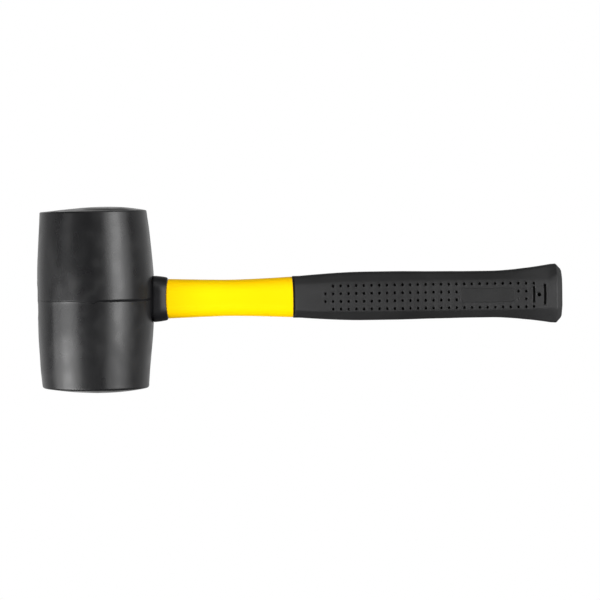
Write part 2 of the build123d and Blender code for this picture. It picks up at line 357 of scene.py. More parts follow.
collar_stations = [
    (31.1, 24.1, 17.1, 6.5), (31.1, 29.6, 20.4, 8.3), (31.4, 30.1, 20.9, 8.5), (33.0, 30.2, 21.0, 8.5), (33.4, 29.6, 20.4, 8.3),
    (33.9, 28.9, 19.7, 8.0), (36.0, 28.9, 19.7, 8.0), (37.7, 28.9, 19.7, 8.0), (38.2, 29.3, 20.1, 8.2), (38.6, 29.8, 20.6, 8.4),
    (39.1, 30.0, 20.8, 8.6), (40.2, 29.85, 20.78, 8.8), (41.8, 29.55, 20.7, 9.1),
    (43.0, 29.3, 20.55, 9.3), (43.9, 29.05, 20.3, 9.4), (44.7, 28.8, 19.98, 9.4), (45.5, 28.55, 19.55, 9.3),
    (46.3, 28.25, 19.02, 9.1), (46.8, 28.0, 18.62, 8.9), (47.2, 27.6, 18.28, 8.6), (47.5, 27.15, 17.98, 8.2),
    (47.68, 26.6, 17.7, 7.8), (47.75, 25.9, 17.5, 7.4), (47.75, 24.1, 17.1, 6.5),
]
collar = make_object("neck_collar_ring", *loft(collar_stations, bow=collar_bow), sharp=50)


# ------------------------------------------------------------ yellow jacket
neck_h = curve([(46.0, 25.75), (49.3, 25.5), (59.6, 24.8), (64.8, 24.5), (70.0, 24.15), (75.2, 23.9), (80.4, 23.65),
                (85.6, 23.5), (90.8, 23.55), (96, 23.75), (101.2, 24.0), (106.4, 24.35), (111.6, 24.8), (116.8, 25.2), (122, 25.75), (130.0, 26.45)])
neck_d = curve([(46.0, 19.0), (56, 18.6), (70, 18.1), (85.6, 17.7), (101, 18.0), (115, 18.5), (130, 19.2)])
GRIP_X0 = 128.8


def seam_bow(z, h):
    """How far the grip's front edge is drawn towards the butt at mid height."""
    t = np.clip(2 * z / h, -1, 1)
    return 0.55 - 0.60 * np.abs(t) ** 2.0 * np.where(t > 0, 1.0, 0.35)


def neck_bow(x, y, z, h):
    left = -COLLAR_BOW * smoothstep(40.5, 46.5, x) * (1 - smoothstep(47.5, 58.0, x)) * (1 - (2 * z / h) ** 2)
    right = smoothstep(118.0, 128.0, x) * seam_bow(z, h)
    return left + right


def jacket_stations():
    s = [(30.1, 16.05, 11.05, 5.0), (30.1, 23.4, 16.4, 6.2), (30.4, 24.0, 17.0, 6.5), (40.0, 24.0, 17.0, 6.5), (44.0, 24.0, 17.0, 6.5), (47.95, 24.0, 17.0, 6.5)]
    # shoulder behind the collar
    h0, d0 = float(neck_h(48.0)), float(neck_d(48.0))
    s += [(47.95, h0 - 1.2, d0 - 1.1, 7.6), (48.0, h0 - 0.55, d0 - 0.5, 7.8), (48.15, h0 - 0.15, d0 - 0.12, 7.95), (48.4, h0, d0, 8.0)]
    for x in np.concatenate([[49.0, 50.2], np.linspace(52, 124, 49), [125.5, 127.0]]):
        s.append((x, float(neck_h(x)), float(neck_d(x)), 0.43 * float(neck_d(x))))
    h1, d1 = float(neck_h(128)), float(neck_d(128))
    s += [(128.1, h1, d1, 8.2), (128.32, h1 - 0.04, d1 - 0.05, 8.2), (128.42, h1 - 0.2, d1 - 0.2, 8.1), (128.45, h1 - 0.6, d1 - 0.6, 7.9),
          (128.45, 21.0, 15.5, 6.0), (261.6, 21.0, 15.5, 6.0), (262.0, 20.4, 15.0, 5.8), (262.0, 16.05, 11.05, 5.0)]
    return s


jacket = make_object("handle_jacket_shell", *loft(jacket_stations(), corner=16, side=10, bow=neck_bow), sharp=45)


# -------------------------------------------------------------- grip sleeve
# x: half height, half height of the side panel, half depth, half width of the narrow edges
G = [
    (128.8, 13.35, 8.1, 10.1, 5.3), (132.4, 13.38, 8.3, 10.3, 5.4), (137.6, 13.75, 8.75, 10.6, 5.5), (142.8, 14.13, 9.1, 10.9, 5.6),
    (148.0, 14.48, 9.4, 11.2, 5.7), (153.2, 14.8, 9.55, 11.45, 5.8), (158.4, 15.08, 9.65, 11.65, 5.85), (163.6, 15.3, 9.75, 11.8, 5.9),
    (168.8, 15.47, 9.8, 11.9, 5.95), (176, 15.55, 9.85, 12.0, 6.0), (195, 15.55, 9.85, 12.0, 6.0), (205, 15.43, 9.85, 12.0, 6.0),
    (215, 15.23, 9.85, 11.95, 6.0), (231, 15.07, 9.85, 11.9, 6.0), (241, 14.94, 9.85, 11.9, 6.0), (257, 14.93, 9.85, 11.95, 6.0),
    (262.3, 15.05, 9.85, 12.0, 6.05), (267.5, 15.38, 9.85, 12.2, 6.2), (272.7, 15.78, 9.85, 12.45, 6.35), (277.9, 16.35, 9.85, 12.8, 6.55),
    (283.1, 16.9, 9.75, 13.1, 6.4), (288.3, 17.6, 9.45, 13.5, 6.0), (293.5, 18.37, 9.5, 13.8, 5.5), (296.7, 18.85, 11.2, 14.0, 5.3), (299.3, 18.95, 13.2, 14.1, 5.3),
]
gh, gf, gd, ge = (curve([(row[0], row[k]) for row in G]) for k in (1, 2, 3, 4))
F0 = 9.85                      # half height of the side panel in the dimpled stretch
PITCH, SUB = 4.98, 6           # dimple pitch, and grid cells in it
STEP = PITCH / SUB
X_FIRST = 149.8                # first column of dimples
T_STEP = 0.85
T_LINES = 23                   # lines across a side panel, from -9.35 to 9.35
# end of the butt: x, how far the outline has drawn in
tip = curve([(299.2, 0.0), (299.7, 0.35), (300.1, 0.8), (300.6, 1.35), (301.3, 2.1), (301.9, 2.75), (302.35, 3.35), (302.65, 3.95)])


def fullness(x, t):
    """How far a side panel falls away from its middle towards its edges."""
    q = np.abs(t) / F0
    return np.where(np.asarray(t) > 0, (1.00 + 0.40 * smoothstep(128, 150, x)) * q ** 3, 0.40 * smoothstep(128, 150, x) * q ** 2.5)


def side_point(x, t, side):
    """A point of a side panel. side is -1 for the front, +1 for the back."""
    k = gf(x) / F0
    y = gd(x) - fullness(x, t)
    return np.stack([x, side * y, AXIS_Z + t * k], -1)


X_LINES = np.concatenate([
    [128.5, 128.6, 129.6, 129.75, 129.95, 130.3, 131.8, 134.0, 136.0, 138.0, 140.0, 142.0, 144.0, 145.8],
    X_FIRST - PITCH / 2 + STEP * np.arange(0, 28 * SUB + 12),
    [298.5, 299.2, 299.7, 300.1, 300.6, 301.1, 301.6, 302.0, 302.35, 302.65]])
X_LINES = X_LINES[(X_LINES <= 297.9) | (X_LINES >= 298.4)]
I0 = 14                        # index of the first dimple-grid line


def corner_points(p0, p1, p2, c, n, c2=None):
    """Points rounding the corner p1 between the edges to p0 and p2, reaching c (and c2) along them."""
    a = p1 + (p0 - p1) / np.linalg.norm(p0 - p1) * c
    b = p1 + (p2 - p1) / np.linalg.norm(p2 - p1) * (c if c2 is None else c2)
    out = []
    for t in np.linspace(0, 1, n):
        out.append((1 - t) ** 2 * a + 2 * t * (1 - t) * p1 + t ** 2 * b)
    return out


def quarter(x, up):
    """Half of the near half of the section at x, from the middle of the side panel over its crease
    to the middle of the narrow edge, as (y, z) with z counted away from the handle axis."""
    h, f, d, e = float(gh(x)), float(gf(x)), float(gd(x)), float(ge(x))
    s = 1 if up else -1
    if not up:
        f -= 2.6 * float(smoothstep(293, 299, x))      # the lower facets stay wide to the end
    k = f / F0
    ts = np.arange(T_LINES // 2 + 1) * T_STEP
    panel = [np.array([-(d - float(fullness(x, s * t))), t * k]) for t in ts]
    end = panel[-1]
    c1 = np.array([-(d - float(fullness(x, s * F0))), f])
    c2 = np.array([-e, h])
    c3 = np.array([0.0, h + 0.25])
    butt = float(smoothstep(272, 292, x))
    reach = (2.9 if up else 1.1 + 1.3 * butt) * min(1.0, np.linalg.norm(c2 - c1) / 5.0)
    q = corner_points(end, c1, c2, max(np.linalg.norm(c1 - end) * 0.98, 0.05), 7, reach)
    out = panel + q[1:]
    at = q[-1]
    r2 = min(2.1, 0.4 * np.linalg.norm(c2 - c1))
    k2 = corner_points(c1, c2, c3, r2, 7)
    for w in (0.2, 0.4, 0.6, 0.8):
        out.append(at + (k2[0] - at) * w)
    out += k2
    for w in (0.35, 0.7):
        out.append(k2[-1] + (np.array([0.0, k2[-1][1] + 0.12]) - k2[-1]) * w)
    out.append(np.array([0.0, k2[-1][1] + 0.13]))
    return np.array(out)


def section(x):
    """Closed loop (y, z) of the grip at x: front panel upwards, over the top, back panel down, under."""
    up, low = quarter(x, True), quarter(x, False)
    return np.concatenate([up, up[::-1][1:] * [-1, 1], low[1:] * [-1, -1], low[::-1][1:-1] * [1, -1]])


def grip_section_at(x):
    """Ring of the grip at x, drawn in over the butt's chamfer."""
    if x <= 299.2:
        o = section(x)
        return o
    i = float(tip(x))
    o = section(299.2)
    h, d = float(gh(299.2)), float(gd(299.2))
    return o * [(d - i * 0.92) / d, (h - i) / h]


class Grip:
    """The sleeve's outer skin as a grid, with dimples, slots, panel and hole let into its side panels."""

    def __init__(self):
        self.v = []
        self.f = []
        self.rows = []

    def add(self, pts):
        a = len(self.v)
        self.v.extend([tuple(p) for p in np.asarray(pts, float)])
        return list(range(a, len(self.v)))

    def build(self):
        xs = X_LINES
        rings = []
        for x in xs:
            o = grip_section_at(float(x))
            px = np.full(len(o), float(x))
            # front edge follows the bowed seam
            px = px + seam_bow(o[:, 1], 2 * gh(max(x, 128.8))) * (1 - smoothstep(130.5, 141.0, x))
            # groove at the seam with the neck, dying away over the narrow edges
            deep = {128.5: 1.75, 128.6: 1.85, 129.6: 1.85, 129.75: 0.5, 129.95: 0.1, 130.3: 0.0}.get(round(float(x), 2), 0.0)
            q = o.copy()
            q[:, 0] -= np.sign(o[:, 0]) * deep * (1 - smoothstep(0.78, 0.97, np.abs(o[:, 1]) / float(gh(max(x, 128.8)))))
            rings.append(self.add(np.stack([px, q[:, 0], AXIS_Z + q[:, 1]], 1)))
        self.rings = rings
        n = len(rings[0])
        self.n = n
        half = T_LINES // 2
        # loop numbers of the panel lines: front is -half..half, back likewise
        self.front = [(-half + k) % n for k in range(T_LINES)]        # t from low to high
        mid_back = n // 2
        self.back = [(mid_back + half - k) % n for k in range(T_LINES)]  # t from low to high
        holes = self.features()
        taken = set()
        for side, cells in holes.items():
            for (i0, i1, j0, j1, kind, data) in cells:
                for i in range(i0, i1):
                    for j in range(j0, j1):
                        taken.add((side, i, j))
        fmap = {}
        for j in range(T_LINES - 1):
            fmap[self.front[j]] = (-1, j)            # quad from loop j to j+1
        bmap = {}
        for j in range(T_LINES - 1):
            bmap[self.back[j + 1]] = (1, j)
        for i in range(len(xs) - 1):
            for a in range(n):
                b = (a + 1) % n
                key = fmap.get(a) or bmap.get(a)
                if key and (key[0], i, key[1]) in taken:
                    continue
                self.f.append((rings[i][a], rings[i + 1][a], rings[i + 1][b], rings[i][b]))
        for side, cells in holes.items():
            for cell in cells:
                self.let_in(side, *cell)
        self.close_ends()
        return np.array(self.v), self.f

    def features(self):
        """Cells of the grid that carry a feature: (i0, i1, j0, j1, kind, data)."""
        out = {-1: [], 1: []}
        rows = {0: (0, 5), 1: (5, 11), 2: (11, 17), 3: (17, 22)}       # grid cells of the dimple rows, low to high
        centre_t = {0: -8.15, 1: -3.1, 2: 2.0, 3: 7.1}
        for side in (-1, 1):
            for col in range(28):
                cx = X_FIRST + PITCH * col
                i0, i1 = I0 + SUB * col, I0 + SUB * (col + 1)
                for row in range(4):
                    inner = row in (1, 2)
                    if col == 0 and not inner:
                        continue
                    if inner and (18 <= col <= 24 or col == 27):
                        continue
                    a, b = i0, i1
                    if inner and col == 17:
                        b -= 1
                    if inner and col == 25:
                        a += 1
                    j0, j1 = rows[row]
                    if col == 27:
                        j0, j1 = (0, 4) if row == 0 else (18, 22)
                    seed = (col * 37 + row * 101 + (side > 0) * 53) % 97 / 97.0
                    seed2 = (col * 61 + row * 29 + (side > 0) * 17) % 89 / 89.0
                    worn = 1.0
                    if col == 25 and row == 1:
                        worn = 0.35                     # a shallow one beside the blank panel
                    if col == 25 and row == 2:
                        worn = 0.8
                    rx = 0.77 + 0.10 * (seed - 0.5)
                    rt = 0.92 + 0.12 * (seed2 - 0.5)
                    out[side].append((a, b, j0, j1, "dimple", (cx + 0.08 * (seed2 - 0.5), centre_t[row] + 0.08 * (seed - 0.5), rx, rt, 2.1 * worn)))
            # blank panel
            a = I0 + SUB * 18 - 1
            b = I0 + SUB * 25 + 1
            out[side].append((a, b, 5, 17, "panel", (0.5 * (xs_at(a) + xs_at(b)), -0.35, 17.5, 4.55, 0.42)))
            # first slot, hanging hole and second slot
            s1 = I0 + SUB * 27
            out[side].append((s1 + 1, s1 + 5, 4, 18, "slot", (284.2, -0.3, 0.80, 5.35, 2.2)))
            out[side].append((s1 + 5, s1 + 10, 8, 14, "hole", (287.6, -0.3, 1.25, 1.25, 0.0)))
            out[side].append((s1 + 10, s1 + 14, 2, 20, "slot", (291.25, -0.3, 0.84, 7.1, 2.4)))
        return out

    def let_in(self, side, i0, i1, j0, j1, kind, data):
        lines = self.front if side < 0 else self.back
        edge_ids, edge_xt = [], []
        path = [(i, j0) for i in range(i0, i1)] + [(i1, j) for j in range(j0, j1)] + [(i, j1) for i in range(i1, i0, -1)] + [(i0, j) for j in range(j1, j0, -1)]
        for i, j in path:
            edge_ids.append(self.rings[i][lines[j]])
            edge_xt.append((X_LINES[i], (j - (T_LINES - 1) / 2) * T_STEP))
        xt = np.array(edge_xt)
        cx, ct, rx, rt, deep = data
        rel = xt - [cx, ct]
        m = len(rel)
        if kind in ("dimple", "hole"):
            ang = np.arctan2(rel[:, 1] / rt, rel[:, 0] / rx)
            shape = lambda grow: np.stack([(rx + grow) * np.cos(ang), (rt + grow) * np.sin(ang)], 1)
        else:
            # stadium or rounded rectangle: nearest point of its outline to each edge point
            r = min(rx, rt) if kind == "slot" else 2.3
            core = np.array([max(rx - r, 0.0), max(rt - r, 0.0)])

            def shape(grow):
                q = np.clip(rel * [rx / max(abs(rel[:, 0]).max(), 1e-6), rt / max(abs(rel[:, 1]).max(), 1e-6)], -core, core)
                away = rel - q
                away = away / np.maximum(np.linalg.norm(away, axis=1), 1e-6)[:, None]
                return q + away * max(r + grow, 0.02)
        if kind == "dimple":
            levels = [(0.36, 0.0), (0.24, -0.035), (0.13, -0.03), (0.03, 0.12), (-0.02, 0.32), (-0.04, 0.62 * deep), (-0.12, 0.84 * deep), (-0.32, 0.95 * deep), (-0.62, 1.0 * deep)]
            if deep < 1.0:
                levels = [(0.42, 0.0), (0.2, 0.02), (0.0, 0.1), (-0.2, 0.25 * deep + 0.1), (-0.4, deep * 0.8), (-0.62, deep)]
        elif kind == "panel":
            levels = [(0.35, 0.0), (0.16, 0.012), (0.03, 0.06), (-0.03, 0.16), (-0.06, 0.30), (-0.16, 0.39), (-0.36, deep), (-1.0, deep), (-2.0, deep)]
        elif kind == "slot":
            levels = [(0.50, 0.0), (0.38, -0.09), (0.24, -0.15), (0.12, -0.07), (0.03, 0.14), (-0.02, 0.5), (-0.05, 1.2), (-0.12, 0.92 * deep), (-0.45, deep)]
        else:
            levels = [(0.52, 0.0), (0.40, -0.10), (0.26, -0.16), (0.13, -0.05), (0.04, 0.16), (0.0, 0.45), (0.0, 3.0), (0.0, 7.0), (0.0, 11.0)]
        prev = edge_ids
        first = True
        for grow, down in levels:
            p = shape(grow) + [cx, ct]
            if kind == "slot":
                # the slots lean and bow a little
                p[:, 0] += 0.35 * (1 - (p[:, 1] / 6.5) ** 2) * 0.6
            pts = side_point(p[:, 0], p[:, 1], side)
            pts[:, 1] -= side * down
            ids = self.add(pts)
            self.ring_faces(prev, ids, side)
            prev = ids
        if kind == "hole":
            self.bores = getattr(self, "bores", {})
            self.bores[side] = (prev, p)
            return
        if kind in ("dimple",):
            c = self.add([side_point(np.array([cx]), np.array([ct]), side)[0] - [0, side * deep * 1.03, 0]])[0]
            for a in range(m):
                b = (a + 1) % m
                tri = (prev[a], prev[b], c)
                self.f.append(tri if side < 0 else tri[::-1])
        else:
            face = tuple(prev)
            self.fill_floor(prev, side, m, i1 - i0, j1 - j0)

    def fill_floor(self, loop, side, m, ni, nj):
        """Quads across a floor whose edge loop runs round a grid cell of ni by nj."""
        idx = {}
        path = [(i, 0) for i in range(0, ni)] + [(ni, j) for j in range(0, nj)] + [(i, nj) for i in range(ni, 0, -1)] + [(0, j) for j in range(nj, 0, -1)]
        for k, p in enumerate(path):
            idx[p] = loop[k]
        pos = np.array(self.v)
        for i in range(1, ni):
            for j in range(1, nj):
                a, b = pos[idx[(0, j)]], pos[idx[(ni, j)]]
                c, d = pos[idx[(i, 0)]], pos[idx[(i, nj)]]
                s, t = i / ni, j / nj
                e00, e10, e11, e01 = pos[idx[(0, 0)]], pos[idx[(ni, 0)]], pos[idx[(ni, nj)]], pos[idx[(0, nj)]]
                p = (1 - s) * a + s * b + (1 - t) * c + t * d - ((1 - s) * (1 - t) * e00 + s * (1 - t) * e10 + s * t * e11 + (1 - s) * t * e01)
                idx[(i, j)] = self.add([p])[0]
        for i in range(ni):
            for j in range(nj):
                q = (idx[(i, j)], idx[(i + 1, j)], idx[(i + 1, j + 1)], idx[(i, j + 1)])
                self.f.append(q if side < 0 else q[::-1])

    def ring_faces(self, outer, inner, side):
        m = len(outer)
        for a in range(m):
            b = (a + 1) % m
            q = (outer[a], outer[b], inner[b], inner[a])
            self.f.append(q if side < 0 else q[::-1])

    def close_ends(self):
        n = self.n
        # hanging hole: join the two bores through the butt
        front, pf = self.bores[-1]
        back, pb = self.bores[1]
        m = len(front)
        for a in range(m):
            b = (a + 1) % m
            self.f.append((front[a], front[b], back[b], back[a]))
        # butt end: rings drawing in to a slightly full centre
        prev = self.rings[-1]
        base = np.array([self.v[i] for i in prev])
        cy, cz = 0.0, AXIS_Z
        for scale, x in ((0.985, 302.78), (0.955, 302.88), (0.9, 302.97), (0.8, 303.07), (0.65, 303.16), (0.48, 303.22), (0.3, 303.26), (0.12, 303.28)):
            p = base.copy()
            p[:, 0] = x
            p[:, 1] = base[:, 1] * scale
            p[:, 2] = AXIS_Z + (base[:, 2] - AXIS_Z) * scale
            ids = self.add(p)
            for a in range(n):
                b = (a + 1) % n
                self.f.append((prev[a], ids[a], ids[b], prev[b]))
            prev = ids
        c = self.add([(303.29, 0, AXIS_Z)])[0]
        for a in range(n):
            self.f.append((prev[a], c, prev[(a + 1) % n]))
        # front end: in to the jacket, back along the socket, and its floor
        prev = self.rings[0]
        base = np.array([self.v[i] for i in prev])
        ang = np.arctan2(base[:, 2] - AXIS_Z, base[:, 1])

        def ring(h, d, x):
            o = rounded_rect(h, d, 6.0, 24, 12)
            oa = np.unwrap(np.arctan2(o[:, 1], o[:, 0]))
            q = []
            for t in ang:
                # point of the outline in that direction
                direction = np.array([math.cos(t), math.sin(t)])
                best = None
                dots = o @ direction / np.linalg.norm(o, axis=1)
                k = int(np.argmax(dots))
                cand = []
                for k2 in ((k - 1) % len(o), k):
                    a, b = o[k2], o[(k2 + 1) % len(o)]
                    mat = np.array([[direction[0], a[0] - b[0]], [direction[1], a[1] - b[1]]])
                    if abs(np.linalg.det(mat)) > 1e-9:
                        s, u = np.linalg.solve(mat, a)
                        if -1e-6 <= u <= 1 + 1e-6 and s > 0:
                            cand.append(direction * s)
                best = cand[0] if cand else o[k]
                q.append(best)
            q = np.array(q)
            return np.stack([np.full(len(q), x), q[:, 0], AXIS_Z + q[:, 1]], 1)

        bow = seam_bow(base[:, 2] - AXIS_Z, 26.7)
        p1 = ring(21.06, 15.56, 128.5)
        p1[:, 0] += bow
        for pts in (p1, ring(21.06, 15.56, 131.5), ring(21.06, 15.56, 200.0), ring(21.06, 15.56, 274.9),
                    ring(25.1, 18.1, 274.95), ring(25.1, 18.1, 280.05)):
            ids = self.add(pts)
            for a in range(n):
                b = (a + 1) % n
                self.f.append((prev[a], prev[b], ids[b], ids[a]))
            prev = ids
        c = self.add([(280.05, 0, AXIS_Z)])[0]
        for a in range(n):
            self.f.append((prev[a], prev[(a + 1) % n], c))


def xs_at(i):
    return float(X_LINES[i])


grip_verts, grip_faces = Grip().build()
grip = make_object("grip_sleeve_moulding", grip_verts, grip_faces, sharp=38)


# ---------------------------------------------------------------- materials
class Nodes:
    """A node material for one finish."""

    def __init__(self, name):
        self.m = bpy.data.materials.new(name)
        self.m.use_nodes = True
        self.t = self.m.node_tree
        self.t.nodes.clear()
        self.out = self.t.nodes.new("ShaderNodeOutputMaterial")
        self.bsdf = self.t.nodes.new("ShaderNodeBsdfPrincipled")
        self.t.links.new(self.bsdf.outputs[0], self.out.inputs[0])
        self.co = self.t.nodes.new("ShaderNodeTexCoord").outputs["Object"]

    def stretched(self, sx, sy, sz):
        n = self.t.nodes.new("ShaderNodeMapping")
        n.inputs["Scale"].default_value = (sx, sy, sz)
        self.t.links.new(self.co, n.inputs["Vector"])
        return n.outputs[0]

    def noise(self, scale, detail=2.0, rough=0.5, vector=None, distortion=0.0):
        n = self.t.nodes.new("ShaderNodeTexNoise")
        n.inputs["Scale"].default_value = scale
        n.inputs["Detail"].default_value = detail
        n.inputs["Roughness"].default_value = rough
        n.inputs["Distortion"].default_value = distortion
        self.t.links.new(vector or self.co, n.inputs["Vector"])
        return n.outputs["Fac"]

    def voronoi(self, scale, vector=None):
        n = self.t.nodes.new("ShaderNodeTexVoronoi")
        n.inputs["Scale"].default_value = scale
        self.t.links.new(vector or self.co, n.inputs["Vector"])
        return n.outputs["Distance"]

    def span(self, value, lo, hi, out_lo, out_hi, smooth=False):
        n = self.t.nodes.new("ShaderNodeMapRange")
        if smooth:
            n.interpolation_type = "SMOOTHSTEP"
        for k, v in zip(("From Min", "From Max", "To Min", "To Max"), (lo, hi, out_lo, out_hi)):
            n.inputs[k].default_value = v
        self.t.links.new(value, n.inputs["Value"])
        return n.outputs["Result"]

    def math(self, kind, a, b):
        n = self.t.nodes.new("ShaderNodeMath")
        n.operation = kind
        for socket, v in zip(n.inputs, (a, b)):
            if isinstance(v, (int, float)):
                socket.default_value = v
            else:
                self.t.links.new(v, socket)
        return n.outputs[0]

    def mix(self, fac, a, b):
        n = self.t.nodes.new("ShaderNodeMix")
        n.data_type = "RGBA"
        self.t.links.new(fac, n.inputs["Factor"])
        for socket, v in ((n.inputs[6], a), (n.inputs[7], b)):
            if isinstance(v, tuple):
                socket.default_value = (*v, 1.0)
            else:
                self.t.links.new(v, socket)
        return n.outputs[2]

    def coords(self):
        n = self.t.nodes.new("ShaderNodeSeparateXYZ")
        self.t.links.new(self.co, n.inputs[0])
        return n.outputs

    def bump(self, height, strength, distance, onto=None):
        n = self.t.nodes.new("ShaderNodeBump")
        n.inputs["Strength"].default_value = strength
        n.inputs["Distance"].default_value = distance
        self.t.links.new(height, n.inputs["Height"])
        if onto is not None:
            self.t.links.new(onto, n.inputs["Normal"])
        return n.outputs[0]

    def link(self, value, socket):
        self.t.links.new(value, self.bsdf.inputs[socket])

    def fixed(self, **values):
        for k, v in values.items():
            self.bsdf.inputs[k.replace("_", " ")].default_value = v


def head_rubber():
    m = Nodes("head_rubber")
    cloud = m.noise(22.0, 3.0, 0.55)
    dust = m.noise(130.0, 0.0, 0.5)
    drawn = m.noise(90.0, 1.0, 0.45, m.stretched(1.0, 1.0, 0.16))          # marks of the mould, drawn out along it
    tone = m.mix(m.span(cloud, 0.35, 0.65, 0, 1, True), (0.0080, 0.0080, 0.0086), (0.0108, 0.0108, 0.0114))
    speck = m.span(dust, 0.60, 0.78, 0.0, 0.35, True)
    m.link(m.mix(speck, tone, (0.017, 0.017, 0.0175)), "Base Color")
    rough = m.math("ADD", m.span(cloud, 0.3, 0.7, 0.275, 0.325), m.span(dust, 0.35, 0.75, -0.02, 0.05))
    rough = m.math("ADD", rough, m.span(drawn, 0.36, 0.64, -0.04, 0.05))
    # the striking faces are matt, but still shine at a glancing angle
    height = m.math("ABSOLUTE", m.math("SUBTRACT", m.coords()[2], 0.0603), 0.0)
    glance = m.t.nodes.new("ShaderNodeLayerWeight").outputs["Facing"]
    matt = m.math("MULTIPLY", m.span(height, 0.0577, 0.0583, 0.0, 1.0, True), m.span(glance, 0.82, 0.94, 0.36, -0.03, True))
    m.link(m.math("ADD", rough, matt), "Roughness")
    b = m.bump(m.noise(34.0, 1.0, 0.4), 0.14, 0.0016)
    b = m.bump(m.noise(80.0, 0.0, 0.4, m.stretched(1.0, 1.0, 0.20)), 0.14, 0.0010, b)
    b = m.bump(m.noise(46.0, 0.0, 0.4, m.stretched(1.0, 1.0, 0.40)), 0.16, 0.0022, b)
    m.link(b, "Normal")
    m.fixed(Specular_IOR_Level=0.37)
    return m.m


def grip_rubber():
    m = Nodes("grip_rubber")
    cloud = m.noise(26.0, 3.0, 0.55)
    grain = m.noise(1300.0, 3.0, 0.65)
    rub = m.noise(75.0, 4.0, 0.65)
    tone = m.mix(m.span(cloud, 0.35, 0.65, 0, 1, True), (0.0165, 0.0165, 0.017), (0.0215, 0.0215, 0.022))
    colour = m.mix(m.span(rub, 0.56, 0.8, 0.0, 0.4, True), tone, (0.030, 0.030, 0.030))
    # painted shade: the middle of the grip is painted a little darker
    x = m.coords()[0]
    middle_shade = m.math("MULTIPLY", m.span(x, 0.135, 0.175, 0.0, 0.40, True), m.span(x, 0.272, 0.294, 1.0, 0.0, True))
    colour = m.mix(middle_shade, colour, (0.0, 0.0, 0.0))
    # painted shade: the sloping facets near the neck are painted darker, as facets turned from the light; the blank
    # panel is painted darker too
    up = m.math("ABSOLUTE", m.math("SUBTRACT", m.coords()[2], 0.0602), 0.0)
    facet_shade = m.math("MULTIPLY", m.span(up, 0.0078, 0.0100, 0.0, 0.34, True), m.span(x, 0.135, 0.175, 1.0, 0.0, True))
    colour = m.mix(facet_shade, colour, (0.0, 0.0, 0.0))
    along = m.math("MULTIPLY", m.span(x, 0.2350, 0.2400, 0.0, 1.0, True), m.span(x, 0.2680, 0.2730, 1.0, 0.0, True))
    panel = m.math("MULTIPLY", along, m.span(up, 0.0036, 0.0058, 0.26, 0.0, True))
    colour = m.mix(panel, colour, (0.0, 0.0, 0.0))
    # painted shade in the groove beside the neck
    colour = m.mix(m.span(x, 0.1297, 0.1304, 0.8, 0.0, True), colour, (0.001, 0.001, 0.001))
    # painted shade inside the hanging hole, which is also made rougher
    dx = m.math("SUBTRACT", x, 0.2876)
    dz = m.math("SUBTRACT", m.coords()[2], 0.0600)
    reach = m.math("SQRT", m.math("ADD", m.math("MULTIPLY", dx, dx), m.math("MULTIPLY", dz, dz)), 0.0)
    hole_shade = m.math("MULTIPLY", m.span(reach, 0.00128, 0.00136, 1.0, 0.0), m.span(m.math("ABSOLUTE", m.coords()[1], 0.0), 0.0122, 0.0128, 1.0, 0.0))
    m.link(m.mix(hole_shade, colour, (0.001, 0.001, 0.001)), "Base Color")
    rough = m.math("ADD", m.span(cloud, 0.3, 0.7, 0.56, 0.62), m.span(rub, 0.4, 0.8, -0.03, 0.05))
    m.link(m.math("ADD", rough, m.math("MULTIPLY", hole_shade, 0.35)), "Roughness")
    b = m.bump(grain, 0.22, 0.00022)
    b = m.bump(m.noise(60.0, 2.0, 0.5), 0.10, 0.0008, b)
    m.link(b, "Normal")
    m.fixed(Specular_IOR_Level=0.34)
    return m.m


def yellow_plastic():
    m = Nodes("yellow_jacket")
    cloud = m.noise(30.0, 2.0, 0.5)
    flow = m.noise(60.0, 3.0, 0.6, m.stretched(0.25, 1.0, 1.0))
    tone = m.mix(m.span(cloud, 0.35, 0.65, 0, 1, True), (0.90, 0.580, 0.0), (0.90, 0.602, 0.0))
    tone = m.mix(m.span(flow, 0.55, 0.8, 0.0, 0.25, True), tone, (0.90, 0.56, 0.0))
    # painted shade: the yellow is painted deeper where the neck comes out of the collar, for the collar's shadow and
    # dark reflection, and deeper towards the grip, to even out the stronger light there
    near = m.span(m.coords()[0], 0.048, 0.082, 1.0, 0.0, True)
    tone = m.mix(m.span(m.coords()[0], 0.070, 0.115, 0.0, 1.0, True), tone, (0.90, 0.540, 0.0))
    colour = m.mix(near, tone, (0.90, 0.545, 0.0))
    m.link(colour, "Base Color")
    # painted light: the yellow also glows a little in its own colour, strength set below, which lifts its shaded sides
    m.link(colour, "Emission Color")
    m.link(m.span(flow, 0.35, 0.7, 0.46, 0.54), "Roughness")
    b = m.bump(m.noise(240.0, 2.0, 0.5), 0.06, 0.0003)
    b = m.bump(flow, 0.05, 0.0006, b)
    m.link(b, "Normal")
    m.fixed(Specular_IOR_Level=0.06, Emission_Strength=0.17)
    return m.m


def collar_plastic():
    m = Nodes("collar_plastic")
    cloud = m.noise(45.0, 3.0, 0.5)
    fine = m.noise(700.0, 2.0, 0.5)
    m.link(m.mix(m.span(cloud, 0.35, 0.65, 0, 1, True), (0.0085, 0.0085, 0.0095), (0.012, 0.012, 0.0135)), "Base Color")
    m.link(m.math("ADD", m.span(cloud, 0.3, 0.7, 0.38, 0.44), m.span(fine, 0.4, 0.7, -0.01, 0.02)), "Roughness")
    m.link(m.bump(fine, 0.06, 0.0002, m.bump(cloud, 0.08, 0.0008)), "Normal")
    m.fixed(Specular_IOR_Level=0.30)
    return m.m


def black_plastic():
    m = Nodes("black_plastic")
    cloud = m.noise(60.0, 3.0, 0.55)
    fine = m.noise(1100.0, 3.0, 0.6)
    m.link(m.mix(m.span(cloud, 0.35, 0.65, 0, 1, True), (0.014, 0.014, 0.015), (0.022, 0.022, 0.023)), "Base Color")
    m.link(m.span(fine, 0.3, 0.7, 0.42, 0.55), "Roughness")
    m.link(m.bump(fine, 0.2, 0.0002), "Normal")
    return m.m


